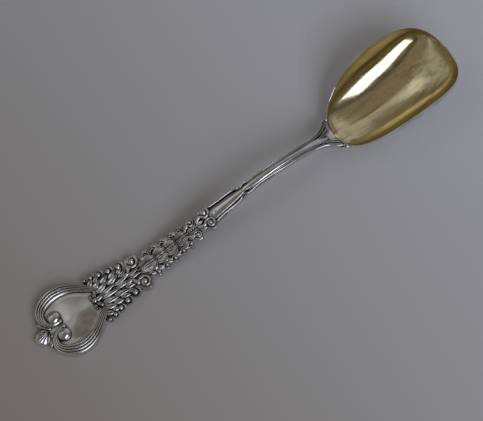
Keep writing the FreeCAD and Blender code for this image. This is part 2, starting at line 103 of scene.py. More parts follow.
print("halfway between marks at 0, 2 and 0:", round(float(smooth_line((0, 1, 2), (0, 2, 0))(0.5)), 3))

# %% [markdown]
# ## Closed solids
# All the ornament of the real handle is one metal. It could be pushed out of one dense grid, but thin
# threads and undercut scrolls would then need millions of faces. Small closed solids are easy to shape
# and to move, as wax parts are before casting. A solid has to be watertight, or the weld at the end
# leaves holes, so one helper makes them all, turns their faces outward and says so if an edge is open.
# %% One closed solid
solids = []
SAME_POINT, NO_LENGTH = 2e-7, 1e-8


def solid(points, faces):
    """Keeps a closed solid whose points are in millimetres from the tip."""
    mesh = bpy.data.meshes.new("solid_%d" % len(solids))
    mesh.from_pydata(((np.asarray(points, float) + (TIP, 0, 0)) * MM).tolist(), [], faces)
    form = bmesh.new()
    form.from_mesh(mesh)
    bmesh.ops.remove_doubles(form, verts=form.verts, dist=SAME_POINT)
    bmesh.ops.dissolve_degenerate(form, edges=form.edges, dist=NO_LENGTH)
    bmesh.ops.recalc_face_normals(form, faces=form.faces)
    if form.calc_volume(signed=True) < 0:
        bmesh.ops.reverse_faces(form, faces=form.faces)
    open_edges = sum(not edge.is_manifold for edge in form.edges)
    if open_edges:
        print("solid", len(solids), "has", open_edges, "open edges")
    form.to_mesh(mesh)
    form.free()
    solids.append(bpy.data.objects.new(mesh.name, mesh))
    return solids[-1]

# %% Faces between rows of points
def grid_faces(rows, columns, start=0, closed=False):
    """Quads between rows of points; closed joins each row's last point to its first."""
    last = columns if closed else columns - 1
    return [(start + r * columns + c, start + r * columns + (c + 1) % columns,
             start + (r + 1) * columns + (c + 1) % columns, start + (r + 1) * columns + c)
            for r in range(rows - 1) for c in range(last)]


def sweep(rings):
    """A solid through closed rings of points, capped at both ends."""
    rows, columns = rings.shape[:2]
    caps = [tuple(range(columns)), tuple((rows - 1) * columns + c for c in range(columns))]
    return solid(rings.reshape(-1, 3), grid_faces(rows, columns, closed=True) + caps)


print("a tube of 3 rings with 8 points has", len(grid_faces(3, 8, closed=True)), "sides")

# %% [markdown]
# ## The handle's blank
# Before the die comes down there is a plain bar: flat under the heart, rising through the carved part to
# the arch, and falling to the neck. It could be a bent box with a bevel, but its width, height and crown
# all change along the way. So it is a loft, with one section at each place: a crowned top, short upright
# sides and a rounded underside. The widths follow the carved edges from just inside.
# %% Heights and widths along the handle, each as (along, value)
TOP_MARKS = ((0, 2.4), (25.7, 2.4), (50, 2.7), (71.5, 5.08), (88.5, 9.1), (104, 11.97), (120.8, 13.2),
             (140, 9.94), (152, 6.4), (158, 4.9))
UNDER_MARKS = ((0, 0.3), (25, 0.3), (50, 0.35), (60, 0.75), (71.5, 2.05), (88.5, 5.5), (104, 8.4),
               (120.8, 9.6), (140, 6.35), (152, 3.3), (158, 2.6))
HALF_MARKS = ((1.5, 2.0), (5, 3.0), (8, 8), (14, 12.2), (20, 12.2), (26, 8.8), (31, 8.6), (36, 8.2),
              (42, 7.2), (50, 6.7), (55, 5.9), (62, 5.6), (70, 5.2), (78, 4.8), (84, 4.4), (88.5, 3.95),
              (96, 3.3), (104, 2.6), (108, 2.4), (120, 2.35), (140, 2.4), (144, 2.9), (147, 4.2),
              (149.5, 5.9), (151.3, 7.0))
top, under, blank_half = (smooth_line(*zip(*marks)) for marks in (TOP_MARKS, UNDER_MARKS, HALF_MARKS))
print("height at heart, panel, arch and neck:", [round(float(top(x)), 1) for x in (16, 96, 121, 152)])

# %% The swell of the top
CROWN = ((0, 0.0), (30, 0.1), (45, 0.5), (56, 1.0), (84, 0.9), (90, 0.0), (104, 0.0), (110, 0.2), (140, 0.2),
         (146, -1.3), (151.3, -2.6))
CHANNEL = ((86, 0), (90, 1.0), (103, 0.9), (105, 0.4), (108, 0.75), (140, 0.75), (147, 0.5), (151.3, 0.6))
CROWN_BALANCE = 0.55


def between(along, marks):
    """Reads the straight lines between marks."""
    return np.interp(along, *zip(*marks))


def ground(along, across):
    """Height of the top that all ornament stands on; a negative crown hollows it, as at the neck."""
    swell = CROWN_BALANCE - (np.asarray(across) / blank_half(along)) ** 2
    return top(along) + between(along, CROWN) * swell


print("swell of the middle at the husks:", round(float(ground(60, 0) - ground(60, blank_half(60))), 2), "mm")

# %% Loft the blank
SOLE_ROUND = 0.32


def handle_blank():
    """The bar, sunk beside the panel and the shank's spine so that the threads there stand free."""
    alongs = np.r_[np.linspace(1.5, 30, 40), np.linspace(30.7, 104, 80), np.linspace(104.8, 151.3, 70)]
    across = np.sin(np.linspace(-0.5, 0.5, 17) * np.pi)
    rings = []
    for x in alongs:
        half, low, sunk = float(blank_half(x)), float(under(x)), float(between(x, CHANNEL))
        skin = [(x, half * a, float(ground(x, half * a)) - sunk) for a in across]
        fall = skin[0][2] - low
        sole = [(x, half * a, low + SOLE_ROUND * fall * abs(a) ** 3) for a in across[::-1]]
        rings.append(skin + sole)
    return sweep(np.array(rings))


handle_blank()
print("the blank has", len(solids[0].data.vertices), "corners")

# %% [markdown]
# ## The reeded heart
# The terminal is a flat heart with a bright plate. Its border is a bundle of four reeds. It starts beside
# a knob as a smooth band, the reeds grow out of it, and it swells round the lobe and narrows to the
# heart's point. It could be a curve with a bevel, but a bevel keeps one section all the way. A sweep
# changes its section as it goes: a row of half-round crests whose width and depth are read at each place.
# The underside has a little camber, so that the scoop stands on its two lobes.
# %% The border
HEART_START, HEART_LENGTH, HEART_HALF = 6.0, 26.2, 15.9
REEDS, BORDER_WIDTH, REED_DEPTH, BORDER_RISE = 4, 5.0, 1.15, 0.35
LOBE_AT, LOBE_REACH, CAMBER = 16.9, 9.1, 0.39
BORDER = ((0.29, 0.085, 0.30), (0.17, 0.11, 0.40), (0.075, 0.22, 0.52), (0.035, 0.40, 0.62),
          (0.07, 0.58, 0.76), (0.20, 0.755, 0.94), (0.41, 0.836, 1.00), (0.69, 0.69, 0.74),
          (0.87, 0.47, 0.60), (1.03, 0.235, 0.42))


def sideways(path):
    """Unit vectors to the left of a path seen from above, and along it."""
    along = np.gradient(path, axis=0)
    along /= np.linalg.norm(along, axis=1)[:, None]
    side = np.stack([-along[:, 1], along[:, 0], 0 * along[:, 0]], 1)
    return side / np.linalg.norm(side, axis=1)[:, None], along


def heart_border(side):
    """Half the border; BORDER holds shares of the heart's length, its half width and the border's width."""
    line = route([(HEART_START + a * HEART_LENGTH, side * b * HEART_HALF, w * BORDER_WIDTH)
                  for a, b, w in BORDER], 150)
    path = np.column_stack([line[:, :2], np.zeros(len(line))])
    outward = sideways(path)[0] * -side
    share = np.linspace(0, 1, REEDS * 8 + 1)
    scallop = np.sqrt(np.clip(1 - (2 * (share * REEDS % 1) - 1) ** 2, 0, 1))
    rings = []
    for i, centre in enumerate(path):
        width, grown = line[i, 2], np.clip((i - 8) / 30, 0.12, 1)
        depth = grown * REED_DEPTH * width / (2 * REEDS)
        swell = (0.35 + 0.6 * (1 - grown)) * (1 - (2 * share - 1) ** 2)
        skin = centre + outward[i] * ((share - 0.5) * width)[:, None]
        skin[:, 2] = top(centre[0]) + BORDER_RISE + swell + depth * scallop
        foot = skin[[-1, 0]]
        foot[:, 2] = CAMBER * min(((centre[0] - LOBE_AT) / LOBE_REACH) ** 2, 1)
        rings.append(np.vstack([skin, foot]))
    return sweep(np.array(rings))


print("a reed is", round(BORDER_WIDTH / REEDS, 2), "mm wide at the lobe")

# %% The plate
PLATE_EDGE = ((9.5, 0), (11, 4.5), (12.5, 8.6), (17, 10.6), (22, 9.6), (27, 6.4), (31.5, 2.2), (32.5, 0))
PLATE_MIDDLE, PLATE_HEIGHT, PLATE_DOME, PLATE_FOOT = 20.5, 2.2, 0.8, 1.0


def heart_plate():
    """The polished plate inside the border: rings that close in on a softly domed middle."""
    edge = route([(x, y, 0) for x, y in PLATE_EDGE], 60)
    loop = np.concatenate([edge, edge[-2:0:-1] * (1, -1, 1)])
    middle = np.array([PLATE_MIDDLE, 0, 0])
    rings = []
    for part in np.linspace(0.03, 1, 16):
        ring = middle + (loop - middle) * part
        ring[:, 2] = PLATE_HEIGHT + PLATE_DOME * (1 - part ** 2)
        rings.append(ring)
    rings.append(loop + (0, 0, PLATE_FOOT))
    return sweep(np.array(rings))


print("the plate's dome rises", PLATE_DOME, "mm")

# %% Beads, and the heart put together
def ball(centre, radius, flat=1.0, sides=18):
    """A bead; flat under one presses it down."""
    heights = np.linspace(-0.5 * np.pi, 0.5 * np.pi, sides // 2 + 1)[1:-1]
    turns = 2 * np.pi * np.arange(sides) / sides
    rings = np.stack([np.outer(np.cos(heights), np.cos(turns)), np.outer(np.cos(heights), np.sin(turns)),
                      np.outer(np.sin(heights), np.ones(sides)) * flat], 2)
    poles = [[0, 0, -flat], [0, 0, flat]]
    points = np.concatenate([rings.reshape(-1, 3), poles]) * radius + centre
    rows = len(heights)
    upper = (rows - 1) * sides
    faces = grid_faces(rows, sides, closed=True)
    faces += [(c, (c + 1) % sides, rows * sides) for c in range(sides)]
    faces += [(upper + c, upper + (c + 1) % sides, rows * sides + 1) for c in range(sides)]
    return solid(points, faces)


for side in (1, -1):
    heart_border(side)
    ball((11.7, side * 4.25, 2.9), 2.75, 0.66, 28)
    ball((13.3, side * 1.35, 3.3), 0.85, 0.9, 14)
heart_plate()
print("with the heart there are", len(solids), "solids")

# %% [markdown]
# ## Leaves
# Most of the relief is leaves: a pointed outline, a sunk vein and a tip that lifts a little. One leaf
# could be modelled by hand and copied, but copies of one mesh would not follow the swell of the handle.
# So a leaf is a skin of rows and columns that is laid on the blank's top, with upright sides that go down
# into the metal.
# %% Relief and leaf
FLAT_TOP, VEIN_WIDTH = 4.5, 0.13


def relief(skin, foot):
    """A solid under a skin of rows and columns of points, with upright sides down to the foot height."""
    rows, columns = skin.shape[:2]
    sole = skin.copy()
    sole[..., 2] = foot
    size = rows * columns
    faces = grid_faces(rows, columns) + [f[::-1] for f in grid_faces(rows, columns, size)]
    rim = list(range(columns)) + [r * columns + columns - 1 for r in range(1, rows)]
    rim += [(rows - 1) * columns + c for c in range(columns - 2, -1, -1)]
    rim += [r * columns for r in range(rows - 2, 0, -1)]
    faces += [(rim[i], rim[i - 1], size + rim[i - 1], size + rim[i]) for i in range(len(rim))]
    return solid(np.concatenate([skin.reshape(-1, 3), sole.reshape(-1, 3)]), faces)


def leaf(base, angle, length, width, rise=0.9, lift=0.3, bend=0.0, sink=1.3, vein=0.35):
    """A leaf from base along angle (degrees, 0 is towards the bowl), turned by bend; lift is its tip's."""
    s, t = np.linspace(0, 1, 15), np.linspace(-1, 1, 11)
    turn = math.radians(angle) + math.radians(bend) * (s - 0.5)
    step = length / (len(s) - 1)
    middle = np.cumsum(np.column_stack([np.cos(turn), np.sin(turn)]) * step, axis=0)
    middle = middle - middle[0] + np.asarray(base, float)
    half = 0.5 * width * np.sin(np.pi * (0.06 + 0.94 * s) ** 0.72) ** 0.85
    half[-1] = 0.02
    left = np.column_stack([-np.sin(turn), np.cos(turn)])
    plan = middle[:, None] + left[:, None] * (half[:, None] * t)[..., None]
    swell = np.sin(np.pi * (0.12 + 0.8 * s)) ** 0.6
    across = (1 - np.abs(t) ** FLAT_TOP) * (1 - vein * np.exp(-(t / VEIN_WIDTH) ** 2))
    height = ground(plan[..., 0], plan[..., 1]) + rise * swell[:, None] * across + lift * (s ** 2)[:, None]
    return relief(np.dstack([plan, height]), float(ground(*base)) - sink)


print("a leaf's vein is", VEIN_WIDTH, "of its half width")

# %% [markdown]
# ## The shell
# A small shell of seven flutes closes the tip, with a curled leaf at each side where it leaves the lobes.
# It could be seven leaves side by side, but on the real one the flutes share one domed back. So it is one
# relief in polar rows, and its flutes are a cosine that lifts the skin and scallops the edge at once.
# %% Shell
FLUTES = 7
SHELL_HINGE, SHELL_REACH, SHELL_HALF, SHELL_SPREAD = 7.2, 7.15, 3.75, 78
SHELL_HEIGHT, SHELL_DOME, SHELL_FOOT = 1.7, 1.45, 0.35


def shell():
    u, bow = np.linspace(0.02, 1, 16), np.linspace(-1, 1, 8 * FLUTES + 1)
    turn = bow * math.radians(SHELL_SPREAD)
    flute = np.abs(np.cos(0.5 * FLUTES * np.pi * bow))
    reach = 1 - 0.045 * (1 - flute)
    x = SHELL_HINGE - SHELL_REACH * np.cos(turn)[None] * u[:, None] * reach[None]
    y = SHELL_HALF * np.sin(turn)[None] * u[:, None] * reach[None]
    dome = SHELL_DOME * np.sin(np.pi * (0.18 + 0.8 * u)) ** 0.7
    z = SHELL_HEIGHT + dome[:, None] * (0.72 + 0.28 * flute[None])
    return relief(np.dstack([x, y, z]), SHELL_FOOT)


shell()
for side in (1, -1):
    leaf((6.6, side * 2.7), 128 * side, 4.3, 2.3, rise=1.0, lift=0.2, bend=40 * side)
    ball((4.6, side * 5.4, 2.1), 0.75, 0.9, 12)
    leaf((8.6, side * 1.0), 150 * side, 3.2, 1.4, lift=0.1)
print("with the shell there are", len(solids), "solids")

# %% [markdown]
# ## Edge beads
# Down each edge of the carved part run five round beads that grow towards the big scrolls, and each lies
# in a crescent, like a berry in its cup. A bead alone could be a sphere let into the metal, but then it
# reads as a rivet. So each one is three solids: a ball, a low disc that carries it, and a tapered wire
# for the crescent.
# %% Wires, discs and edge beads
BEAD_PLACES = ((30.7, 10.4, 1.0), (33.6, 9.8, 1.3), (37.0, 8.8, 1.55), (41.0, 7.8, 1.75), (45.5, 6.8, 1.9))


def wire(path, radii, sides=10):
    """A round wire along a path, with a radius for each point."""
    path, radii = np.asarray(path, float), np.broadcast_to(radii, len(path))
    side, along = sideways(path)
    upward = np.cross(along, side)
    turns = 2 * np.pi * np.arange(sides) / sides
    ring = np.cos(turns)[None, :, None] * side[:, None] + np.sin(turns)[None, :, None] * upward[:, None]
    return sweep(path[:, None] + ring * radii[:, None, None])


def disc(x, y, radius, height, foot, sides=28):
    """A low dome on an upright wall."""
    turns = 2 * np.pi * np.arange(sides) / sides
    across, up = radius * np.cos(turns), radius * np.sin(turns)
    rings = [np.column_stack([x + r * across, y + r * up, np.full(sides, z)])
             for r, z in ((1, foot), (1, height - 0.12), (0.93, height), (0.5, height + 0.12))]
    return sweep(np.array(rings))


def crescent(x, y, side, radius, lift, thick, count=20):
    """A curved ridge round the outside of a bead, fattest in its middle."""
    turn = np.radians(np.linspace(-90, 130, count))
    z = float(ground(x, min(y, blank_half(x)))) + lift
    ridge = np.column_stack([x + radius * np.cos(turn), side * (y + radius * np.sin(turn)), 0 * turn + z])
    wire(ridge, thick * np.sin(np.linspace(0.3, 2.84, count)) ** 0.6, 8)


def edge_bead(x, y, radius, side):
    z = float(top(x)) + 0.15
    ball((x - 0.15 * radius, side * y, z + 0.2), 0.68 * radius)
    disc(x, side * y, radius * 0.95, z - 0.6, 0.1 + float(under(x)))
    crescent(x, y, side, radius, 0.15, 0.26 * radius)


print("the edge beads grow from", BEAD_PLACES[0][2], "to", BEAD_PLACES[-1][2], "mm")

# %% [markdown]
# ## Sprays and big scrolls
# Between the beads, sprays of leaves fan out from a stem of long blades, and a pair of big scrolls ends
# them. The leaves could be scattered, but a die cutter sets them in rows, each row turned a little more
# outward. So a spray is a table with a leaf on each line. A scroll is a wire that winds in to a bead on a
# low disc, with a tail that comes out of the stem.
# %% Scroll
COIL_POINTS, COIL_CLOSES, TAIL_POINTS = 40, 0.72, 14


def scroll(centre, radius, side, start, turns, thick, lift, eye, tail):
    """A wire that winds in from the start angle to a bead; thick and eye are shares of the radius."""
    x, y = centre
    base = float(ground(x, np.clip(y, -blank_half(x), blank_half(x))))
    count = int(COIL_POINTS * turns)
    share = np.linspace(0, 1, count)
    reach = radius * (1 - thick) * (1 - COIL_CLOSES * share ** 0.9)
    turn = math.radians(start) + side * 2 * np.pi * turns * share
    coil = np.column_stack([x + reach * np.cos(turn), y + reach * np.sin(turn),
                            base + lift * (0.6 + 0.5 * share)])
    lead = np.array([(tx, ty, float(ground(tx, 0)) + lift * 0.4) for tx, ty in tail])
    path = route(np.vstack([lead, coil[::3]]), count + TAIL_POINTS)
    wire(path, radius * thick * (1.05 - 0.55 * np.linspace(0, 1, len(path))))
    ball((x, y, base + lift * 0.9), radius * eye, 1.0, 12)
    disc(x, y, radius * 0.9, base - 0.35 * lift, float(under(x)) + 0.1)


print("a scroll has", COIL_POINTS, "points a turn and", TAIL_POINTS, "more for its tail")

# %% Sprays, big scrolls and the leaves at the heart's point
SPRAY_WIDER = 1.13
STEM_BLADES = ((32.4, 0.9, 5, 9.0, 2.1), (39.6, 0.9, 4, 8.4, 2.0), (46.0, 0.8, 3, 6.4, 1.7))
INNER_ROW = ((31.8, 2.7, 14, 7.4, 2.7), (37.6, 3.0, 13, 6.6, 2.6), (43.0, 2.9, 12, 4.6, 2.2))
MIDDLE_ROW = ((31.4, 4.9, 22, 5.2, 2.8), (35.4, 5.2, 20, 4.8, 2.7), (39.3, 5.0, 18, 4.4, 2.5),
              (43.0, 4.7, 18, 3.4, 2.1))
OUTER_ROW = ((30.6, 7.2, 30, 3.6, 2.4), (33.4, 7.3, 26, 3.4, 2.2))


def spray(side):
    """Each line of the rows is along, across, angle, length and width of a leaf."""
    for x, y, angle, length, width in STEM_BLADES + INNER_ROW + MIDDLE_ROW + OUTER_ROW:
        leaf((x, side * y), side * angle, length, SPRAY_WIDER * width, rise=1.0, lift=0.2, bend=14 * side,
             sink=1.4, vein=0.3)


def big_scroll(side):
    scroll((51.1, side * 5.4), 3.6, side, start=205 * side, turns=1.35, thick=0.24, lift=0.85, eye=0.34,
           tail=((44.2, side * 2.6), (47.2, side * 2.0)))
    leaf((47.4, side * 2.9), 30 * side, 2.6, 1.5, rise=1.0, bend=30 * side, sink=1.4, vein=0.2)
    leaf((54.2, side * 3.6), 34 * side, 3.2, 1.9, bend=60 * side, sink=1.4, vein=0.2)


for side in (1, -1):
    for x, y, radius in BEAD_PLACES:
        edge_bead(x, y, radius, side)
    spray(side)
    big_scroll(side)
leaf((28.8, 0), 0, 6.0, 2.6, rise=1.5, lift=0.2, sink=1.6, vein=0.2)
for side in (1, -1):
    leaf((29.8, side * 0.7), side * 52, 3.7, 2.0, rise=1.5, bend=-40 * side, sink=1.6, vein=0.2)
    leaf((29.2, side * 0.9), side * 100, 2.9, 1.6, rise=1.3, lift=0.2, bend=-40 * side, sink=1.6, vein=0.2)
    ball((31.2, side * 3.2, 3.35), 0.75, 0.9, 14)
ball((29.6, 0, 3.7), 1.1, 0.9, 14)
print("with the sprays there are", len(solids), "solids")

# %% [markdown]
# ## Husks
# Past the big scrolls four husks overlap towards the bowl like shells on a string. Each is a ribbed fan
# with a scalloped, beaded edge and a raised vein. A husk could be five leaves, but its ribs are much
# finer than a leaf's vein. So it is one relief whose ribs are a cosine across, with small beads along its
# edge and a wire for the vein.
# %% Husks
HUSK_RIBS, EDGE_BOW, EDGE_SCALLOP, RIB_HEIGHT = 5, 0.20, 0.035, 0.08
HUSK_ROWS = ((51.0, 60.0, 4.1, 1.25), (57.0, 65.2, 4.0, 1.2), (62.4, 70.4, 3.8, 1.15),
             (68.0, 75.6, 3.4, 1.0))


def husk(start, tip, half, rise):
    """One husk, from start to tip along, half wide at its edge and rise high there."""
    s, t = np.linspace(0, 1, 18), np.linspace(-1, 1, 8 * HUSK_RIBS + 1)
    reach = (1 - EDGE_BOW * t ** 2) + EDGE_SCALLOP * np.cos(np.pi * HUSK_RIBS * t)
    x = start + (tip - start) * s[:, None] * reach[None]
    y = half * (0.30 + 0.70 * s[:, None] ** 0.8) * t[None]
    lip = np.where(s > 0.98, 0.7, 1)[:, None]
    lifted = rise * (0.25 + 0.75 * s[:, None] ** 1.3) * (1 - 0.35 * t[None] ** 4) * lip
    ribs = RIB_HEIGHT * np.cos(2 * np.pi * HUSK_RIBS * t)[None] * np.sin(np.pi * s)[:, None] ** 0.5
    z = ground(x, np.clip(y, -4.6, 4.6)) + lifted + ribs
    relief(np.dstack([x, y, z]), float(ground(start, 0)) - 1.0)
    for place in np.linspace(-0.85, 0.85, 2 * HUSK_RIBS - 1):
        edge = start + (tip - start) * (1 - EDGE_BOW * place ** 2) - 0.1
        ball((edge, half * place, float(ground(edge, half * place)) + rise - 0.05), 0.26, 1, 10)
    middle = 0.5 * (start + tip)
    vein = route([(start, 0, 0.5), (middle, 0, 0.3 + 0.85 * rise), (tip - 0.3, 0, 0.15 + rise)], 14)
    vein[:, 2] += ground(vein[:, 0], 0)
    wire(vein, np.linspace(0.42, 0.3, len(vein)), 8)


for start, tip, half, rise in HUSK_ROWS:
    husk(start, tip, half, rise)
print("with the husks there are", len(solids), "solids")

# %% [markdown]
# ## Curls, pearls and small scrolls
# On each flank of the husks five S-shaped curls run out from the middle, with a leaf between each two. A
# string of pearls follows on the middle line, and a pair of small scrolls ends the carved part. All of
# these could be new shapes, but a die cutter uses the same few punches again. So they are the scroll, the
# leaf and the bead from above, only smaller.
# %% Curls and pearls
CURLS = ((58.0, 5.1, 1.7, 3.4), (62.4, 4.95, 1.7, 3.0), (66.8, 4.75, 1.7, 3.0), (71.2, 4.5, 1.6, 3.0),
         (75.3, 4.2, 1.5, 2.8))
FLANK_LEAVES = ((59.4, 3.9), (63.8, 3.9), (68.2, 3.7), (72.4, 3.5))
PEARLS = np.arange(76.3, 81.0, 1.05)

for side in (1, -1):
    for x, y, radius, back in CURLS:
        scroll((x, side * y), radius, side, start=200 * side, turns=1.0, thick=0.26, lift=0.6, eye=0.36,
               tail=((x - back, side * (y - 1.4)),))
    for x, y in FLANK_LEAVES:
        leaf((x - 1.6, side * y), side * 26, 3.4, 1.7, rise=0.8, lift=0.2, bend=20 * side, sink=1.4,
             vein=0.2)
for x in PEARLS:
    ball((x, 0, float(ground(x, 0)) + 0.4), 0.45, 1, 12)
print(len(CURLS), "curls a side and", len(PEARLS), "pearls")

# %% Small scrolls
for side in (1, -1):
    scroll((79.8, side * 3.3), 2.3, side, start=200 * side, turns=1.2, thick=0.25, lift=0.7, eye=0.32,
           tail=((73.4, side * 1.1), (75.8, side * 1.3)))
    leaf((75.6, side * 2.5), side * 8, 3.8, 1.9, lift=0.2, bend=30 * side, sink=1.4, vein=0.2)
    leaf((81.6, side * 2.4), side * 20, 3.2, 1.7, lift=0.2, bend=30 * side, sink=1.4, vein=0.2)
    scroll((86.7, side * 2.7), 3.05, side, start=200 * side, turns=1.35, thick=0.25, lift=0.85, eye=0.32,
           tail=((81.6, side * 1.0),))
leaf((80.8, 0), 0, 4.2, 1.9, rise=1.2, lift=0.2, sink=1.4, vein=0.15)
for side in (1, -1):
    leaf((81.6, side * 0.3), side * 42, 2.4, 1.3, rise=1.0, lift=0.2)
ball((86.0, 0, float(ground(86.0, 0)) + 0.4), 0.62, 1, 12)
leaf((88.6, 0), 0, 2.8, 1.2, rise=0.7, lift=0.1, sink=1.4, vein=0.15)
print("with the carved part there are", len(solids), "solids")

# %% [markdown]
# ## Threads, panel and spine
# Past the carving the metal is plain. A thread edges the panel and curls in at the collar. Others start
# again along the shank, part at the neck and end in a little scroll of beads on each shoulder. They could
# be lines in a bump map, but they show in the outline and catch the window. So they are wires let halfway
# into the blank, and the panel and the shank's spine are bars with a softly crowned top.
# %% Threads
THREADS = (
    (((88.5, 3.7), (96, 3.1), (102.8, 2.45), (104.2, 1.7)), 0.36, 0.0, 60),
    (((105.4, 0.95), (104.7, 1.5), (105.4, 2.05), (109, 2.2), (121, 2.2), (138, 2.35), (143, 2.9),
      (146.2, 4.0), (148.8, 6.0), (151.6, 7.6)), 0.34, -0.1, 130),
    (((107.4, 1.45), (110, 1.62), (121, 1.6), (138, 1.7), (143, 2.1), (147, 3.5), (151.0, 6.0)),
     0.22, -0.1, 110),
    (((141, 1.0), (145, 1.5), (148, 2.8), (151.0, 4.6)), 0.24, 0.1, 50),
    (((144.5, 0.9), (147.5, 1.5), (151.0, 3.0)), 0.22, 0.1, 40),
)


def thread(side, marks, radius, lift, count):
    """A wire through marks (along, across), tapered at both ends; lift is above the blank's top."""
    line = route([(x, side * y, 0) for x, y in marks], count)
    line[:, 2] = ground(line[:, 0], line[:, 1]) + lift
    taper = np.clip(np.minimum(np.arange(count), np.arange(count)[::-1]) / 4, 0.35, 1)
    return wire(line, radius * taper)


for side in (1, -1):
    for marks, radius, lift, count in THREADS:
        thread(side, marks, radius, lift, count)
    for x in (95.0 + 2.3 * index for index in range(4)):
        ball((x, side * (float(blank_half(x)) + 0.05), float(top(x)) - 0.55), 0.55, 1.1, 10)
    ball((152.4, side * 7.7, 5.6), 1.1, 0.9, 16)
    ball((150.4, side * 7.2, 5.9), 0.62, 0.9, 12)
    leaf((104.8, side * 0.55), 4 * side, 3.6, 0.9, rise=0.5, lift=0.0)
print("with the threads there are", len(solids), "solids")

# %% Panel and spine
PANEL_BAR = ((87.6, 2.4, 0.3), (92, 2.4, 0.35), (98, 1.95, 0.3), (103.4, 1.3, 0.25), (105.2, 0.9, 0.2))
SPINE_BAR = ((104.6, 0.8, 0.3), (107, 1.1, 0.5), (121, 1.2, 0.5), (138, 1.3, 0.5), (143, 1.45, 0.35),
             (148.6, 0.5, -1.0))


def crowned_bar(stations):
    """A bar with a softly crowned top; stations are (along, half width, lift over the handle's height)."""
    share = np.linspace(-1, 1, 13)
    rows = []
    for x, half, lift in route(stations, 60):
        height = float(top(x)) + lift - 0.28 * half * np.abs(share) ** 2.6
        rows.append(np.column_stack([np.full(len(share), x), half * share, height]))
    skin = np.array(rows)
    sole = skin[:, ::-1].copy()
    sole[..., 2] = sole[..., 2].min(axis=1)[:, None] - 1.2
    return sweep(np.concatenate([skin, sole], 1))


crowned_bar(PANEL_BAR)
crowned_bar(SPINE_BAR)
print("with the panel and the spine there are", len(solids), "solids")

# %% [markdown]
# ## The bowl
# The bowl is a deep trough with a rounded lip, raised from sheet until the metal flows without a flat. It
# could be a stretched sphere, but the real one has steep sides, an almost flat floor and a rim that dips
# towards the neck. So each section across is one smooth curve with five control points, two above the rim
# and three below the floor, and the reflections then run in long clean bands. The rim, the widest place
# and the floor are lines along the bowl, read as shares of its length.
# %% Lines of the bowl
REAR, WALL, RIM_WALL, RIM_ROUND = 150.9, 1.2, 0.5, 0.2
RIM_REAR, RIM_MIDDLE, RIM_LIP = 4.0, 18.0, 15.3
FULL_HALF, REAR_HALF, WIDEST, REAR_FULL, FRONT_FULL = 18.9, 1.92, 0.59, 2.2, 2.85
FLOOR_MARKS = ((0.0, 1.0), (0.08, 0.36), (0.18, 0.08), (0.33, 0.0), (0.55, 0.06), (0.75, 0.22), (0.88, 0.44),
               (0.96, 0.72), (1.0, 1.0))
floor_line = smooth_line(*zip(*FLOOR_MARKS))


def rim_height(s):
    """A parabola through the rim's heights at the rear, the middle and the lip."""
    bend = 2 * (RIM_REAR + RIM_LIP) - 4 * RIM_MIDDLE
    return RIM_REAR + (RIM_LIP - RIM_REAR - bend) * s + bend * s ** 2


def rim_half(s):
    """Half the bowl's width: two quarters of a rounded oblong that meet at the widest place."""
    back = np.clip((WIDEST - s) / WIDEST, 0, 1)
    front = np.clip((s - WIDEST) / (1 - WIDEST), 0, 1)
    rear = REAR_HALF + (FULL_HALF - REAR_HALF) * (1 - back ** REAR_FULL) ** (1 / REAR_FULL)
    return np.where(s < WIDEST, rear, FULL_HALF * (1 - front ** FRONT_FULL) ** (1 / FRONT_FULL))


print("the rim is", round(float(rim_height(WIDEST)), 1), "mm high at the widest place")

# %% Sections of the bowl
ABOVE_RIM, SIDE_PULL = 1.2, 1.05
MIDDLE_SHARE = 2 * 0.5 ** 4


def bowl_skin(s, across, floor_wall, rim_wall):
    """Rows of points across the bowl, moved inward by a wall that may be thinner at the rim than below.

    A row is the part of a five-point curve that lies under the rim. Its end points weigh t^4 + (1 - t)^4,
    and two square roots give the place where that weight brings the curve to the rim's height.
    """
    rim = rim_height(s)
    half = rim_half(s) - rim_wall * np.minimum(1, rim_half(s) / 6)
    floor = floor_wall + (rim - floor_wall) * np.clip(floor_line(s), 0, 1)
    high = rim + ABOVE_RIM
    low = high - (high - floor) / (1 - MIDDLE_SHARE)
    drop = np.minimum(RIM_ROUND, 0.4 * (rim - floor))
    part = 1 - np.sqrt((1 + (rim - drop - low) / (high - low)) / 2)
    edge = (1 - np.sqrt(np.clip(1 - 4 * part, 0, 1))) / 2
    t = edge[:, None] + (1 - 2 * edge[:, None]) * across[None]
    y = half[:, None] * (t ** 4 - (1 - t) ** 4 + 4 * SIDE_PULL * t * (1 - t) * (t ** 2 - (1 - t) ** 2))
    share = t ** 4 + (1 - t) ** 4
    z = high[:, None] * share + low[:, None] * (1 - share)
    x = REAR + rim_wall + s * (LENGTH - REAR - 2 * rim_wall)
    return np.dstack([np.broadcast_to(x[:, None], y.shape), y, z])


print("the wall is", WALL, "mm at the floor and", RIM_WALL, "mm at the rim")

# %% Bowl
GILT = 1
RIM_BEND = ((0.15, 0.7), (0.5, 1.0), (0.85, 0.7))


def rounded_edge(a, b):
    """Points that round the rim over from row ends a to row ends b."""
    return np.stack([a + (b - a) * share + (0, 0, RIM_ROUND * rise) for share, rise in RIM_BEND], 1)


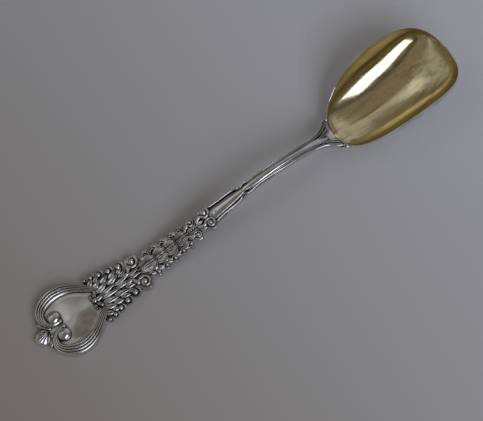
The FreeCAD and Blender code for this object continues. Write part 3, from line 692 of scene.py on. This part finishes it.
def bowl():
    """The outer skin, the rim, the inner skin and the other rim, closed at the rear and at the lip."""
    s = 0.5 - 0.5 * np.cos(np.linspace(0.04, 0.997, 130) * np.pi)
    across = np.linspace(0, 1, 81)
    outside, inside = bowl_skin(s, across, 0.0, 0.0), bowl_skin(s, across, WALL, RIM_WALL)
    rings = np.concatenate([outside, rounded_edge(outside[:, -1], inside[:, -1]),
                            inside[:, ::-1], rounded_edge(inside[:, 0], outside[:, 0])], 1)
    rows, columns = rings.shape[:2]
    wide = len(across)
    first_inner = wide + len(RIM_BEND)
    faces = grid_faces(rows, columns, closed=True)
    skin_faces = len(faces)
    for start in (0, (rows - 1) * columns):
        inner = [start + first_inner + wide - 1 - c for c in range(wide)]
        faces += [(start + c, start + c + 1, inner[c + 1], inner[c]) for c in range(wide - 1)]
        faces.append(tuple(start + c for c in range(wide - 1, first_inner + 1)))
        faces.append((inner[0], *(start + c for c in range(first_inner + wide, columns)), start))
    made = solid(rings.reshape(-1, 3), faces)
    finish = np.zeros(len(faces), np.int32)
    for i in range(skin_faces):
        if first_inner <= faces[i][0] % columns < first_inner + wide - 1:
            finish[i] = GILT
    made.data.polygons.foreach_set("material_index", finish)
    return int(finish.sum())


print("the bowl's inside has", bowl(), "gilt faces;", len(solids), "solids in all")

# %% [markdown]
# ## The weld
# A caster solders wax parts together before pouring, and one skin is left. The solids could be joined as
# they are, but their hidden walls would stay inside the metal, and the recess shading below would see
# them. A boolean union takes those walls out. The manifold solver welds two hundred closed solids in
# seconds, and each face keeps the number of its finish: 0 is silver and 1 is gilt.
# %% Weld everything into one skin
silver, gilding = bpy.data.materials.new("worn_silver"), bpy.data.materials.new("pale_gilding")


def weld(parts, name):
    for part in parts:
        part.data.materials.append(silver)
        part.data.materials.append(gilding)
    group = bpy.data.collections.new("parts_to_weld")
    bpy.context.scene.collection.children.link(group)
    base = parts[0]
    bpy.context.scene.collection.objects.link(base)
    for part in parts[1:]:
        group.objects.link(part)
    union = base.modifiers.new("weld", "BOOLEAN")
    union.operation, union.solver = "UNION", "MANIFOLD"
    union.operand_type, union.collection = "COLLECTION", group
    mesh = bpy.data.meshes.new_from_object(base.evaluated_get(bpy.context.evaluated_depsgraph_get()))
    for part in parts:
        bpy.data.objects.remove(part)
    bpy.data.collections.remove(group)
    made = bpy.data.objects.new(name, mesh)
    bpy.context.scene.collection.objects.link(made)
    return made


scoop = weld(solids, "stilton_scoop_silver")
print("welded:", len(scoop.data.vertices), "corners,",
      sum(len(p.vertices) - 2 for p in scoop.data.polygons), "triangles")

# %% Smooth where the metal is smooth, and say what the piece stands for
CREASE_ANGLE = math.radians(38)
scoop.data.shade_smooth()
scoop.data.set_sharp_from_angle(angle=CREASE_ANGLE)
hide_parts("stilton_scoop")
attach(scoop, "root")
print(scoop.name, "takes the place of the packed solid")

# %% [markdown]
# ## Finishes
# There are two finishes: silver that has been polished by hand for years, dark where the cloth doesn't
# reach, and a pale gilding that is rubbed along the bowl. They could be painted on as pictures, but a
# picture needs an unwrapped mesh and blurs close up. Node groups work from the metal's own shape and
# place instead. Three effects are groups: recess, polish and wear. Each is built once and has named
# inputs, so that a material places it with its own values.
# %% Node helpers
def join(value, socket):
    """Gives a socket a value or, where the value is another node's output, a link."""
    if isinstance(value, bpy.types.NodeSocket):
        socket.id_data.links.new(value, socket)
    else:
        socket.default_value = value


def settle(node, **values):
    """Sets a node's own properties or, by the name of a socket, what goes into it."""
    for name, value in values.items():
        if hasattr(node, name):
            setattr(node, name, value)
        else:
            join(value, node.inputs[name.replace("_", " ")])
    return node


def add(tree, kind, x=0, y=0, **values):
    """A new node at a place of the tree, settled."""
    node = tree.nodes.new(kind)
    node.location = x, y
    return settle(node, **values)


def spread(tree, value, low, high, x, y, **more):
    """Spreads a value between low and high over 0 to 1."""
    node = add(tree, "ShaderNodeMapRange", x, y, Value=value, From_Min=low, From_Max=high, **more)
    return node.outputs["Result"]


def combine(tree, operation, first, second, x, y):
    """One number from two; a dot product's two are a place and the direction it is measured in."""
    kind = "ShaderNodeVectorMath" if operation == "DOT_PRODUCT" else "ShaderNodeMath"
    node = add(tree, kind, x, y, operation=operation)
    join(first, node.inputs[0])
    join(second, node.inputs[1])
    return node.outputs["Value"]


def new_group(name, inputs, outputs):
    """A node group and its two end nodes; inputs and outputs are the names of its sockets, all numbers."""
    tree = bpy.data.node_groups.new(name, "ShaderNodeTree")
    for in_out, labels in (("INPUT", inputs), ("OUTPUT", outputs)):
        for label in labels:
            tree.interface.new_socket(label, in_out=in_out, socket_type="NodeSocketFloat")
    return tree, add(tree, "NodeGroupInput", -1100), add(tree, "NodeGroupOutput", 600)


print("node helpers are ready")

# %% [markdown]
# ## Dark recesses
# Tarnish stays where a cloth can't reach, and the maker often darkens the ground on purpose to lift the
# relief. The mask could come from the mesh's pointiness, but that changes with the size of the faces.
# Ambient occlusion asks how much of the sky a point sees within a set reach, which is just what a
# polishing cloth does. Depth is the dark ground itself, and Sheltered is a wider, softer mask for metal
# that is touched less often.
# %% Recess
def recess_group():
    tree, start, end = new_group("recess", ("Reach", "Open", "Deep"), ("Depth", "Sheltered"))
    sky = add(tree, "ShaderNodeAmbientOcclusion", -800, only_local=True, samples=12,
              Distance=start.outputs["Reach"]).outputs["AO"]
    settle(end,
           Depth=spread(tree, sky, start.outputs["Open"], start.outputs["Deep"], -400, 0,
                        interpolation_type="SMOOTHSTEP"),
           Sheltered=spread(tree, sky, 1.0, 0.72, -400, -300))
    return tree


recess = recess_group()
print("recess puts out", [s.name for s in recess.interface.items_tree if s.in_out == "OUTPUT"])

# %% [markdown]
# ## Polishing lines
# A hand-rubbed surface has fine lines that cross at a few angles, and cloudy patches where it was
# handled. One noise could stand for both, but it would look like sand. So three noises are stretched
# along three directions and added up as a height for a bump, and a fourth, soft one gives the patches.
# %% Polish
PASSES = ((0.25, 0.04), (-0.5, 0.06), (1.3, 0.05))


def polish_group():
    """Each pass of the cloth is (turn in radians, how much the noise is stretched)."""
    tree, start, end = new_group("polish", ("Grain",), ("Height", "Patches"))
    place = add(tree, "ShaderNodeTexCoord", -1100, -300).outputs["Object"]
    passes = []
    for index, (turn, stretch) in enumerate(PASSES):
        turned = add(tree, "ShaderNodeMapping", -850, -260 * index, Vector=place, Rotation=(0, 0, turn),
                     Scale=(stretch, 1, 1))
        lines = add(tree, "ShaderNodeTexNoise", -620, -260 * index, Vector=turned.outputs["Vector"],
                    Scale=start.outputs["Grain"], Detail=3, Roughness=0.7)
        passes.append(lines.outputs["Fac"])
    height = passes[0]
    for index, lines in enumerate(passes[1:]):
        height = combine(tree, "ADD", height, lines, -380 + 200 * index, 0)
    cloud = add(tree, "ShaderNodeTexNoise", -620, -900, Vector=place, Scale=160, Detail=5)
    settle(end, Height=height, Patches=spread(tree, cloud.outputs["Fac"], 0.42, 0.66, -380, -900))
    return tree


polish = polish_group()
print("polish adds", len(PASSES), "passes of the cloth")

# %% [markdown]
# ## Wear of the gilding
# The gilding in a bowl is thin. Years of wiping leave brownish streaks along it, and damp leaves small
# cloudy spots. They could be scratches in the mesh, but they have no depth. So each is a noise that is
# cut to its peaks: one stretched along the bowl, one even.
# %% Wear
def wear_group():
    tree, start, end = new_group("wear", ("Fineness",), ("Streaks", "Spots"))
    place = add(tree, "ShaderNodeTexCoord", -1100, -300).outputs["Object"]
    stretched = add(tree, "ShaderNodeMapping", -850, Vector=place, Scale=(0.07, 1, 1)).outputs["Vector"]
    lines = add(tree, "ShaderNodeTexNoise", -620, Vector=stretched, Scale=start.outputs["Fineness"],
                Detail=4, Roughness=0.65).outputs["Fac"]
    spots = add(tree, "ShaderNodeTexNoise", -620, -350, Vector=place, Scale=420, Detail=5,
                Roughness=0.7).outputs["Fac"]
    settle(end,
           Streaks=spread(tree, lines, 0.50, 0.66, -380, 0),
           Spots=spread(tree, spots, 0.55, 0.72, -380, -350))
    return tree


wear = wear_group()
print("wear puts out", [s.name for s in wear.interface.items_tree if s.in_out == "OUTPUT"])

# %% [markdown]
# ## Worn silver
# The handle's silver is bright on the crests, a little duller in handled patches, and almost black in the
# ground of the relief. Polished crests are smooth and sheltered metal is matt, so the roughness follows
# the recess mask too. One flat grey with a high gloss would give the crests, but the leaves would then
# run into each other.
# %% Helpers for materials
def use(tree, group, x, y, **values):
    """A group placed in a tree, with this tree's own values for its inputs."""
    return settle(add(tree, "ShaderNodeGroup", x, y, node_tree=group), **values)


def mix_colour(tree, share, first, second, x, y):
    """Mixes two colours, each a tuple or a socket."""
    node = add(tree, "ShaderNodeMix", x, y, data_type="RGBA")
    join(share, node.inputs[0])
    for socket, value in ((node.inputs[6], first), (node.inputs[7], second)):
        join((*value, 1) if isinstance(value, tuple) else value, socket)
    return node.outputs[2]


def mix_value(tree, share, first, second, x, y):
    return spread(tree, share, 0, 1, x, y, To_Min=first, To_Max=second)


def polished_metal(material, grain):
    """A metal with its polishing lines in place; returns its tree, its shader and its handled patches."""
    material.use_nodes = True
    tree = material.node_tree
    lines = use(tree, polish, -900, -300, Grain=grain)
    bump = add(tree, "ShaderNodeBump", -350, -450, Height=lines.outputs["Height"], Strength=0.5,
               Distance=0.01 * MM)
    shader = settle(tree.nodes["Principled BSDF"], Metallic=1, Normal=bump.outputs["Normal"])
    return tree, shader, lines.outputs["Patches"]


print("material helpers are ready")

# %% Silver
BRIGHT_SILVER, HANDLED_SILVER, TARNISH = (0.80, 0.80, 0.80), (0.58, 0.565, 0.55), (0.03, 0.026, 0.026)


def make_silver(material):
    tree, shader, patches = polished_metal(material, grain=900)
    hollow = use(tree, recess, -900, 200, Reach=1.5 * MM, Open=0.93, Deep=0.56)
    bright = mix_colour(tree, patches, BRIGHT_SILVER, HANDLED_SILVER, -600, 0)
    settle(shader,
           Base_Color=mix_colour(tree, hollow.outputs["Depth"], bright, TARNISH, -350, 100),
           Roughness=mix_value(tree, hollow.outputs["Sheltered"], 0.17, 0.4, -350, -200))


make_silver(silver)
print("silver has", len(silver.node_tree.nodes), "nodes")

# %% [markdown]
# ## Pale gilding
# The inside of the bowl is gilt with a pale, slightly green gold, worn in streaks. A deep bowl mirrors
# its own far wall, and a plain gold would show that second reflection as a hard bright line. On the real
# one it is soft and brownish. So the material asks the Light Path whether a glossy ray is looking, and
# answers it with a duller gold for the scuffed wall and a darker colour that is painted shade on the
# reflection.
# %% Gilding
PALE_GOLD, RUBBED_GOLD = (0.95, 0.83, 0.50), (0.86, 0.76, 0.48)
STREAK_BROWN, SPOT_BROWN = (0.64, 0.52, 0.27), (0.72, 0.60, 0.36)
# Painted shade: glossy rays see the gold in a darker colour, which dims the bowl's reflection of itself.
REFLECTION_SHADE_GOLD, SECOND_ROUGH = (0.46, 0.385, 0.21), 0.5


def make_gilding(material):
    tree, shader, patches = polished_metal(material, grain=900)
    marks = use(tree, wear, -900, 300, Fineness=520)
    colour = mix_colour(tree, patches, PALE_GOLD, RUBBED_GOLD, -600, 100)
    colour = mix_colour(tree, marks.outputs["Streaks"], colour, STREAK_BROWN, -450, 200)
    colour = mix_colour(tree, marks.outputs["Spots"], colour, SPOT_BROWN, -300, 300)
    seen_again = add(tree, "ShaderNodeLightPath", -600, 400).outputs["Is Glossy Ray"]
    first_rough = mix_value(tree, patches, 0.10, 0.17, -350, -200)
    again_rough = mix_value(tree, seen_again, 0.0, SECOND_ROUGH, -350, -350)
    # Painted shade: the base colour turns darker for glossy rays, and the rougher gold stands for the
    # scuffed wall.
    settle(shader,
           Base_Color=mix_colour(tree, seen_again, colour, REFLECTION_SHADE_GOLD, -150, 200),
           Roughness=combine(tree, "MAXIMUM", first_rough, again_rough, -150, -200))


make_gilding(gilding)
print("gilding has", len(gilding.node_tree.nodes), "nodes")

# %% [markdown]
# ## The table
# The scoop lies on a matt table, which isn't part of it. It could be one flat grey, but its colour holds
# painted light: it is painted darker and warmer on one side and paler and cooler on the other, a painted
# falloff of the window's light in two tones with a soft slope between them, in place of another lamp.
# %% Table
# Painted light: the greys of the table's shaded side and of its lit side.
SHADE_SIDE_GREY, LIT_SIDE_GREY = (0.37, 0.33, 0.29), (0.84, 0.86, 0.91)
FALLOFF_ALONG, FALLOFF_REACH, TABLE_HALF = (0.97, 0.24, 0), 0.24, 3


def make_table():
    material = bpy.data.materials.new("grey_table")
    material.use_nodes = True
    tree = material.node_tree
    place = add(tree, "ShaderNodeTexCoord", -900).outputs["Object"]
    # Painted light: the colour slopes from the darker grey to the paler one along one direction, a painted
    # falloff of the window's light.
    painted_falloff = combine(tree, "DOT_PRODUCT", place, FALLOFF_ALONG, -700, 0)
    share = spread(tree, painted_falloff, -FALLOFF_REACH, FALLOFF_REACH, -500, 0, interpolation_type="SMOOTHSTEP")
    tone = mix_colour(tree, share, SHADE_SIDE_GREY, LIT_SIDE_GREY, -250, 0)
    settle(tree.nodes["Principled BSDF"], Base_Color=tone, Roughness=0.9, Specular_IOR_Level=0.1)
    mesh = bpy.data.meshes.new("table")
    corners = [(TABLE_HALF * x, TABLE_HALF * y, 0) for x, y in ((-1, -1), (1, -1), (1, 1), (-1, 1))]
    mesh.from_pydata(corners, [], [(0, 1, 2, 3)])
    mesh.materials.append(material)
    made = bpy.data.objects.new("table", mesh)
    bpy.context.scene.collection.objects.link(made)
    return made


table = make_table()
print("the table is", 2 * TABLE_HALF, "m wide")

# %% [markdown]
# ## The camera
# The scoop is seen from above, from beside its handle, with the camera rolled so that it lies from the
# lower left to the upper right. The camera could be turned by hand until it fits, but three angles and a
# place are easier to correct: its bearing, how far it looks down, and its roll. A narrow lens from over
# half a metre keeps the heart and the bowl in proportion.
# %% Camera
BEARING, DOWN, ROLL = math.radians(-20.15), math.radians(67.54), math.radians(-15.76)
LENS_ANGLE, CAMERA_AT = math.radians(18.61), Vector((-0.0851, -0.2238, 0.5704))


def make_camera():
    flat_right = Vector((math.cos(BEARING), math.sin(BEARING), 0))
    flat_ahead = Vector((-math.sin(BEARING), math.cos(BEARING), 0))
    look = math.cos(DOWN) * flat_ahead + Vector((0, 0, -math.sin(DOWN)))
    level_up = math.sin(DOWN) * flat_ahead + Vector((0, 0, math.cos(DOWN)))
    right = math.cos(ROLL) * flat_right + math.sin(ROLL) * level_up
    up = -math.sin(ROLL) * flat_right + math.cos(ROLL) * level_up
    data = bpy.data.cameras.new("camera")
    data.sensor_fit, data.sensor_width, data.angle = "HORIZONTAL", 36, LENS_ANGLE
    made = bpy.data.objects.new("camera", data)
    rows = [(right[i], up[i], -look[i], CAMERA_AT[i]) for i in range(3)]
    made.matrix_world = Matrix(rows + [(0, 0, 0, 1)])
    bpy.context.scene.collection.objects.link(made)
    return made


bpy.context.scene.camera = make_camera()
print("the camera is", round(CAMERA_AT.length, 2), "m from the middle of the scoop")

# %% [markdown]
# ## The window
# One broad, cool window gives the long highlight in the bowl and the glints on the reeds. It could be a
# sun or a spot, but polished silver shows the lamp itself, and only a large soft rectangle reads as a
# window there.
# %% Window
def facing(bearing, height):
    """The direction of a place in the room; both are degrees seen from the scoop."""
    flat, up = math.radians(bearing), math.radians(height)
    return Vector((math.cos(up) * math.cos(flat), math.cos(up) * math.sin(flat), math.sin(up)))


def lamp(name, bearing, height, distance, size, power, tint, roll):
    """A soft rectangular light that faces the scoop; roll turns it about its own axis, in degrees."""
    light = bpy.data.lights.new(name, "AREA")
    light.shape, light.size, light.size_y = "RECTANGLE", *size
    light.energy, light.color = power, tint
    made = bpy.data.objects.new(name, light)
    away = facing(bearing, height)
    made.location = away * distance
    made.rotation_mode = "QUATERNION"
    turned = Matrix.Rotation(math.radians(roll), 3, "Z").to_quaternion()
    made.rotation_quaternion = away.to_track_quat("Z", "Y") @ turned
    bpy.context.scene.collection.objects.link(made)
    return made


window = lamp("window", -88.3, 36.5, 1.3, size=(1.25, 0.68), power=6.4, tint=(0.88, 0.94, 1.06), roll=28)
print("the window is", round(window.location.z, 2), "m above the table")

# %% [markdown]
# ## The room
# Silver is mostly what it mirrors, so the room matters as much as the metal. A grey world would leave the
# relief flat. A picture of a room would work, but it is a file to carry along. So the world is drawn with
# bands of tone, from the dark wall opposite the window, over the ceiling, to the wall with the window in
# it, and with three soft pale patches that wake up the plate of the heart and the sides of the bowl.
# %% Room
BANDS = ((-1.0, (0.09, 0.08, 0.075)), (-0.45, (0.14, 0.12, 0.10)), (-0.2, (0.20, 0.19, 0.18)),
         (0.02, (0.37, 0.365, 0.36)), (0.07, (0.165, 0.145, 0.125)), (0.60, (0.17, 0.15, 0.13)),
         (0.70, (0.065, 0.055, 0.05)), (1.0, (0.16, 0.15, 0.14)))
PATCHES = ((145, 36, 36, (0.28, 0.285, 0.28)), (113, 57, 15, (0.52, 0.53, 0.54)),
           (25, 26, 40, (0.33, 0.34, 0.36)))
PATCH_CORE = 0.3


def soft_room(window_side):
    """BANDS run from -1, away from the window, to 1; PATCHES are bearing, height, reach in degrees, tint."""
    world = bpy.data.worlds.new("room")
    bpy.context.scene.world = world
    world.use_nodes = True
    tree = world.node_tree
    ray = add(tree, "ShaderNodeTexCoord", -1300).outputs["Generated"]
    across = spread(tree, combine(tree, "DOT_PRODUCT", ray, window_side, -1100, 300), -1, 1, -900, 300)
    ramp = add(tree, "ShaderNodeValToRGB", -700, 300, Fac=across)
    while len(ramp.color_ramp.elements) < len(BANDS):
        ramp.color_ramp.elements.new(0.5)
    for stop, (at, tint) in zip(ramp.color_ramp.elements, BANDS):
        stop.position, stop.color = (at + 1) / 2, (*tint, 1)
    tone = ramp.outputs["Color"]
    for index, (bearing, height, reach, tint) in enumerate(PATCHES):
        y = -220 * index
        edge, core = math.cos(math.radians(reach)), math.cos(math.radians(PATCH_CORE * reach))
        near = combine(tree, "DOT_PRODUCT", ray, facing(bearing, height), -1100, y)
        fade = spread(tree, near, edge, core, -900, y, interpolation_type="SMOOTHSTEP")
        tone = mix_colour(tree, fade, tone, tint, -400 + 180 * index, y)
    settle(tree.nodes["Background"], Color=tone)
    return world


room = soft_room(facing(-84, 23))
print("the", room.name, "has", len(BANDS), "bands and", len(PATCHES), "patches")

# %% [markdown]
# ## Colours as they are
# The colours are shown as they are, with no film look. The dressed piece must stay inside the solid's
# box.
# %% Show the colours as they are
bpy.context.scene.view_settings.view_transform = "Standard"
